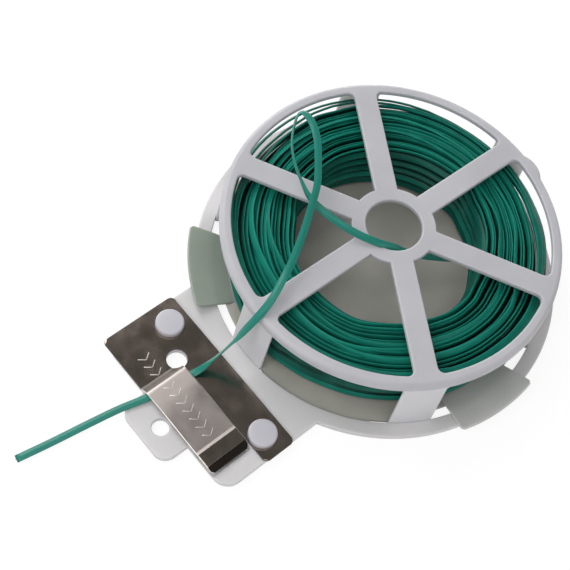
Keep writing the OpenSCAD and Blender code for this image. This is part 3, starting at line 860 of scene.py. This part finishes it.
def slot_tone(number, slot, drawn):
    """Tone of a turn, from -0.5 in painted shade to 1."""
    if slot.kind == "under" or slot.value > DEEP:
        return SHADE
    if slot.kind == "inner":
        return 0.2 + 0.5 * drawn if number % 2 else SHADE
    return SIDE_SHADE_TONES[number] if slot.kind == "side" else 0.3 + 0.7 * drawn


def waver(way, pace, place):
    """Smooth noise along the wire."""
    return noise.noise(Vector((way * pace, *place)))


def added_lean(kind, a):
    """How far a turn's flat side is turned up or down on its way round."""
    if kind == "top":
        low_side = 16 * max(0, math.cos(math.radians(a - 110)))
        return 5 * math.sin(math.radians(a)) - 9 * math.cos(math.radians(a)) - low_side
    if kind in ("loose", "second"):
        return 32 * (1 - smooth_step((off(a, -15) - 70) / 25))
    return 0


def add_coil():
    rng = random.Random(DRAW)
    slots = coil_slots(rng)
    tones = [slot_tone(i, slot, rng.uniform(0.05, 0.95)) for i, slot in enumerate(slots)]
    path, facing, tone = [], [], []
    for i in range((len(slots) - 1) * TURN_STEPS):
        turn, part = divmod(i, TURN_STEPS)
        part /= TURN_STEPS
        a, way = SEAM + 360 * part, turn + part
        shift = smooth_step((part - 1 + CROSSING) / CROSSING)
        now, then = slots[turn], slots[turn + 1]
        low = (1 - math.sin(math.radians(a))) / 2
        z, z_then = now.z - now.sink * low, then.z - then.sink * low
        z += (z_then - z) * shift
        r = slot_radius(now, a) * (1 - shift) + slot_radius(then, a) * shift
        r += (TOP_WANDER if now.kind in ("top", "under") else WANDER) * waver(way, 2.1, (3.7, 0.5))
        z += (SIDE_WAVE if now.kind == "side" else WAVE) * waver(way, 1.7, (9.1, 2.5))
        lean = now.lean + (then.lean - now.lean) * shift
        lean += TWIST * waver(way, 2.6, (5.3, 7.5)) + added_lean(now.kind, a)
        path.append(Vector((*polar(r, a), z)))
        facing.append(direction(a, lean))
        tone.append(tones[turn] * (1 - shift) + tones[turn + 1] * shift)
    rings, uvs = sweep_wire(path, facing, COIL_SECTION)
    verts, faces = tube(rings)
    winding = add_piece("coil_turns", verts, faces, COATING, "green_coating", "coil", uvs,
                        [t for t in tone for _ in COIL_SECTION])
    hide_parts("wire_coil_winding")


# (radius, height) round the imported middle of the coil, with a ripple on its top
MIDDLE = [(31.2, 2.6), (31.0, 3.5), (31.0, 16.2), (31.6, 17.2)]
MIDDLE += [(32.6 + 1.3 * k, 17.2 + (0.25 if k % 2 else -0.15)) for k in range(8)]
MIDDLE += [(42.6, 16.6), (43.0, 15.5), (43.0, 3.5), (42.7, 2.6), (41.5, 2.3), (32.5, 2.3)]
MIDDLE_STEPS, MIDDLE_TONE = 120, 0.3


def add_coil_middle():
    """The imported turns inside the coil, which show as shade between the outer ones."""
    size, count = len(MIDDLE), MIDDLE_STEPS
    verts = [(*polar(r, 360 * i / count), z) for i in range(count) for r, z in MIDDLE]
    faces = [face for i in range(count) for face in band(i * size, (i + 1) % count * size, size)]
    uvs = [(i / 3, j / size) for i in range(count) for j in range(size)]
    middle = add_piece("coil_middle", verts, faces, CORE, "green_coating", "coil", uvs,
                       [MIDDLE_TONE] * len(verts))
    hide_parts("wire_coil_core")


add_coil()
add_coil_middle()


# -------- cutter

PLATE_X, PLATE_NEAR, PLATE_FAR, SHEAR = 28.0, -56.9, -81.6, -67.5
STEEL_T, PLATE_TOP, PLATE_CORNER, PLATE_EDGE = 0.5, 2.5, 1.6, 0.14
ROOT_X, TONGUE_NEAR, TONGUE_FAR, TONGUE_TIP, TONGUE_CORNER = -9.95, -68.0, -81.55, 21.7, 1.5
FOLD_X, STEP_X, LIP_X = -7.7, 15.4, 19.6
# The tongue's middle line above that of the plate: (X, height, how far from the corner it bends)
TONGUE_LINE = [(ROOT_X, 0.0, 0), (-9.4, 0.12, 0.5), (-7.6, 1.46, 0.8), (0.6, 2.09, 3.2), (10.6, 1.73, 2.4),
               (STEP_X - 0.95, 1.72, 0.2), (STEP_X, 1.87, 0.15), (LIP_X, 1.80, 0.2), (TONGUE_TIP, 0.62, 0)]
BEND_STEPS, LINE_STEP = 6, 0.5
TONGUE_EDGE, TONGUE_CUTS = 0.2, 12
# Stations where the relief hole bites into the tongue's side, and at its rounded end
TONGUE_STATIONS = {-9.6, -9.2, -8.9, -8.6, -8.4, -8.3, -8.22, -8.2, -8.0}
TONGUE_STATIONS |= {TONGUE_TIP - TONGUE_CORNER + TONGUE_CORNER * s
                    for s in (0, 0.3, 0.5, 0.68, 0.82, 0.92, 0.97)}
# Past these limits a plate edge gets steel with painted shade, and a tongue side gets steel with a painted
# highlight.
TURNED_DOWN, CUT_SIDE = 0.97, 0.2  # limits of a face's normal, past which it has another steel
RIVETS = [(-21.0, -63.0), (21.0, -63.0)]


def plate_outline():
    """The plate without its tongue, anticlockwise. The relief hole opens its inner corner."""
    x, y = GUIDE_HOLE
    seam = ROOT_X + 0.15
    at_seam = -math.degrees(math.acos((seam - x) / GUIDE_R))
    at_shear = math.degrees(math.asin((SHEAR - y) / GUIDE_R))
    c = PLATE_CORNER
    return ([(seam, PLATE_FAR)]
            + arc(GUIDE_R, at_seam, at_shear - 360, GUIDE_HOLE, 8)
            + arc(c, -90, 0, (PLATE_X - c, SHEAR + c), 10)
            + arc(c, 0, 90, (PLATE_X - c, PLATE_NEAR - c), 10)
            + arc(c, 90, 180, (-PLATE_X + c, PLATE_NEAR - c), 10)
            + arc(c, 180, 270, (-PLATE_X + c, PLATE_FAR + c), 10))


def tongue_profile():
    """The tongue's middle line, with its bends rounded."""
    corners = [Vector((x, z)) for x, z, _ in TONGUE_LINE]
    line = []
    for i, here in enumerate(corners):
        reach = TONGUE_LINE[i][2]
        if reach == 0:
            line.append(here)
            continue
        before = here + (corners[i - 1] - here).normalized() * reach
        after = here + (corners[i + 1] - here).normalized() * reach
        for k in range(BEND_STEPS + 1):
            t = k / BEND_STEPS
            line.append(before * (1 - t) ** 2 + here * 2 * t * (1 - t) + after * t * t)
    dense = [line[0]]
    for p, q in zip(line, line[1:]):
        count = max(1, math.ceil((q - p).length / LINE_STEP))
        dense += [p + (q - p) * k / count for k in range(1, count + 1)]
    return dense


def on_plate(x, y, h):
    """A point at a height above the middle of the plate's sheet."""
    return x, y, PLATE_TOP - STEEL_T / 2 + h


def on_tongue(profile):
    """place(x, y, h), the same on the tongue, square to its sheet."""
    last = len(profile) - 1

    def place(x, y, h):
        i = next((k for k in range(1, last + 1) if profile[k].x >= x), last)
        p, q = profile[i - 1], profile[i]
        t = (x - p.x) / (q.x - p.x)
        here = (q - p).normalized()
        before = (p - profile[i - 2]).normalized() if i > 1 else here
        after = (profile[i + 1] - q).normalized() if i < last else here
        way = ((before + here) * (1 - t) + (here + after) * t).normalized()
        return x - way.y * h, y, PLATE_TOP - STEEL_T / 2 + p.y + (q.y - p.y) * t + way.x * h
    return place


def tongue_span(x):
    """Both sides of the tongue, with the relief hole cut out and the end's corners rounded."""
    near, far = TONGUE_NEAR, TONGUE_FAR
    if x < GUIDE_HOLE[0] + GUIDE_R:
        near = GUIDE_HOLE[1] - math.sqrt(max(GUIDE_R ** 2 - (x - GUIDE_HOLE[0]) ** 2, 0))
    over = x - (TONGUE_TIP - TONGUE_CORNER)
    cut = corner_cut(over, TONGUE_CORNER, 0.02) if over > 0 else 0
    return near - cut, far + cut


def tongue_steel_and_painted_light(middle, normal):
    """The steel of a face: bright at a cut side, with a painted highlight, and changing along the tongue,
    with painted shade at its root and on its lip.
    """
    if abs(normal.y) > CUT_SIDE:
        return CUT_STEEL_PAINTED_HIGHLIGHT
    for end, zone_steel in ((FOLD_X, STEEL_PAINTED_SHADE), (STEP_X, SATIN_STEEL), (LIP_X, STEEL)):
        if middle.x < end:
            return zone_steel
    return LIP_STEEL_PAINTED_SHADE


def add_cutter():
    sheet = solid([(plate_outline(), rounded(BASE_T, PLATE_TOP, PLATE_EDGE, 3))])
    # The plate's turned-down edges get steel with painted shade.
    plate = add_piece("cutter_blade_plate", *sheet, STEEL, "cutter_steel",
                      zones=([STEEL_PAINTED_SHADE], lambda middle, normal: int(normal.z < TURNED_DOWN)))
    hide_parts("cutter_plate")
    profile = tongue_profile()
    place = on_tongue(profile)
    end = TONGUE_TIP - TONGUE_EDGE
    xs = sorted({round(p.x, 4) for p in profile} | TONGUE_STATIONS)
    stations = [x for x in xs if x < end - 0.01] + [end]
    sheet = bent_sheet(stations, tongue_span, place, STEEL_T, TONGUE_EDGE, TONGUE_CUTS)
    steels = [SATIN_STEEL, CUT_STEEL_PAINTED_HIGHLIGHT, STEEL, LIP_STEEL_PAINTED_SHADE, STEEL_PAINTED_SHADE]
    tongue = add_piece("cutter_press_tongue", *sheet, steels[0], "cutter_steel", "tongue",
                       zones=(steels[1:], lambda middle, normal: steels.index(tongue_steel_and_painted_light(middle, normal))))
    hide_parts("cutter_tongue")
    return place


MARK_W, MARK_RISE, MARK_SINK = 0.26, 0.05, 0.02
MARK_Y, MARK_REACH, MARK_LENGTH = -75.0, 2.0, 1.5
PLATE_MARKS = [-17.6, -14.75, -11.9]
TONGUE_MARKS = [-6.0, -3.1, -0.2, 2.7, 5.6, 8.5, 11.4]
# Shares of (length, width, rise) along a stroke, and of (half width, rise) across it
STROKE_LINE = ((0, 0.5, 0.1), (0.06, 0.95, 0.9), (0.35, 1, 1), (0.65, 1, 1), (0.94, 0.95, 0.9), (1, 0.5, 0.1))
STROKE_SECTION = ((-1, 0), (-1, 0.6), (-0.5, 1), (0.5, 1), (1, 0.6), (1, 0))


def stroke(start, end, place):
    """A short raised stroke on the tongue or the plate."""
    a, b = Vector(start), Vector(end)
    way = (b - a).normalized()
    left = Vector((-way.y, way.x)) * MARK_W / 2
    rings = []
    for t, w, h in STROKE_LINE:
        p = a + (b - a) * t
        rings.append([place(p.x + left.x * s * w, p.y + left.y * s * w,
                            STEEL_T / 2 + MARK_RISE * k * h - MARK_SINK) for s, k in STROKE_SECTION])
    return tube(rings)


def add_marks(place):
    """A stamped row of plain chevrons, which point along the tongue to the end that is pressed."""
    for name, body, on, columns in (("plate_marks", "frame", on_plate, PLATE_MARKS),
                                    ("tongue_marks", "tongue", place, TONGUE_MARKS)):
        strokes = [stroke((x, MARK_Y + side * MARK_REACH), (x + MARK_LENGTH, MARK_Y), on)
                   for x in columns for side in (-1, 1)]
        add_piece(name, *joined(strokes), STAMP, "cutter_steel", body)


# (radius, height) up a rivet: its clenched back, its shank, the side of its head and its flat top
RIVET_BACK = [(0, 0.1), (3.2, 0.1), (3.5, 0.35), (3.5, 0.72), (1.95, 0.8), (1.95, 2.52), (4.0, 2.51),
              (4.13, 2.58), (4.15, 2.8)]
RIVET_TOP = [(2.6, 4.48), (1.2, 4.5), (0, 4.5)]
HEAD_R, HEAD_SIDE_Z, HEAD_ROUND = 4.15, 3.85, 0.6


def add_rivets():
    dome = [(HEAD_R - HEAD_ROUND * (1 - c), HEAD_SIDE_Z + HEAD_ROUND * s) for s, c in quarter(6)]
    profile = RIVET_BACK + dome + RIVET_TOP
    for k, centre in enumerate(RIVETS):
        rivet = add_piece(f"rivet_{k + 1}", *lathe(profile, centre), RIVET, "rivet_plastic")
        if k == 0:
            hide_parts("cutter_rivets")


add_marks(add_cutter())
add_rivets()


# -------- floor and light

FLOOR_HALF, FLOOR_Z = 3, -0.0002  # metres
FLOOR_SHADE, GLOW, GLOW_SHARE = 0.82, 1.08, 0.8


def add_floor():
    """A white floor, which looks white to the camera and in reflections and keeps the shadow."""
    mesh = bpy.data.meshes.new("floor")
    corners = ((-1, -1), (1, -1), (1, 1), (-1, 1))
    mesh.from_pydata([(x * FLOOR_HALF, y * FLOOR_HALF, FLOOR_Z) for x, y in corners], [], [(0, 1, 2, 3)])
    floor = add_object("floor", mesh)
    material = bpy.data.materials.new("floor")
    tree = emptied(material)
    rays = add_node(tree, "LightPath").outputs
    seen = calculate("MAXIMUM", rays["Is Camera Ray"], rays["Is Glossy Ray"])
    seen = calculate("MAXIMUM", seen, rays["Is Transmission Ray"])
    share = calculate("MULTIPLY", seen, GLOW_SHARE)
    plain = add_node(tree, "BsdfDiffuse", {"Color": (*[FLOOR_SHADE] * 3, 1)})
    glow = add_node(tree, "Emission", {"Color": (1, 1, 1, 1), "Strength": GLOW})
    both = add_node(tree, "MixShader", {0: share, 1: plain.outputs[0], 2: glow.outputs[0]})
    add_node(tree, "OutputMaterial", {"Surface": both.outputs[0]})
    mesh.materials.append(material)


LOOKS_AT = (0, -0.02, 0.01)
# Name, azimuth, elevation, distance and size in metres, power in watts
SOFTBOXES = (("key", 178, 46, 0.9, (0.5, 0.5), 3.5),
             ("fill", -97, 45, 1.0, (0.7, 0.7), 3.1),
             ("top", -60, 76, 1.0, (0.7, 0.7), 2.1),
             ("low_left", 145, 12, 0.8, (0.7, 0.22), 2.2),
             ("right", 8, 24, 0.9, (0.6, 0.3), 0.8))


def add_softbox(name, azimuth, elevation, distance, size, power):
    """An area light that looks at the part."""
    data = bpy.data.lights.new(name, "AREA")
    data.shape, data.size, data.size_y = "RECTANGLE", size[0], size[1]
    data.energy = power
    lamp = add_object(name, data)
    way = direction(azimuth, elevation)
    lamp.location = way * distance + Vector(LOOKS_AT)
    lamp.rotation_euler = way.to_track_quat("Z", "Y").to_euler()


HORIZON, OVERHEAD = (0.25, 0.62), (0.80, 0.16)  # (sine of the height, strength)
ROOM_COLOUR = (1, 0.985, 0.97, 1)


def add_world():
    """Soft room light: bright at the horizon and dim overhead."""
    world = bpy.data.worlds.new("room")
    tree = emptied(world)
    way = add_node(tree, "SeparateXYZ", {0: add_node(tree, "TexCoord").outputs["Generated"]})
    level = ramp(way.outputs["Z"], (HORIZON[0], OVERHEAD[0]), (HORIZON[1], OVERHEAD[1]))
    back = add_node(tree, "Background", {"Color": ROOM_COLOUR, "Strength": level})
    add_node(tree, "OutputWorld", {"Surface": back.outputs[0]})
    scene.world = world


add_floor()
add_world()
for softbox in SOFTBOXES:
    add_softbox(*softbox)
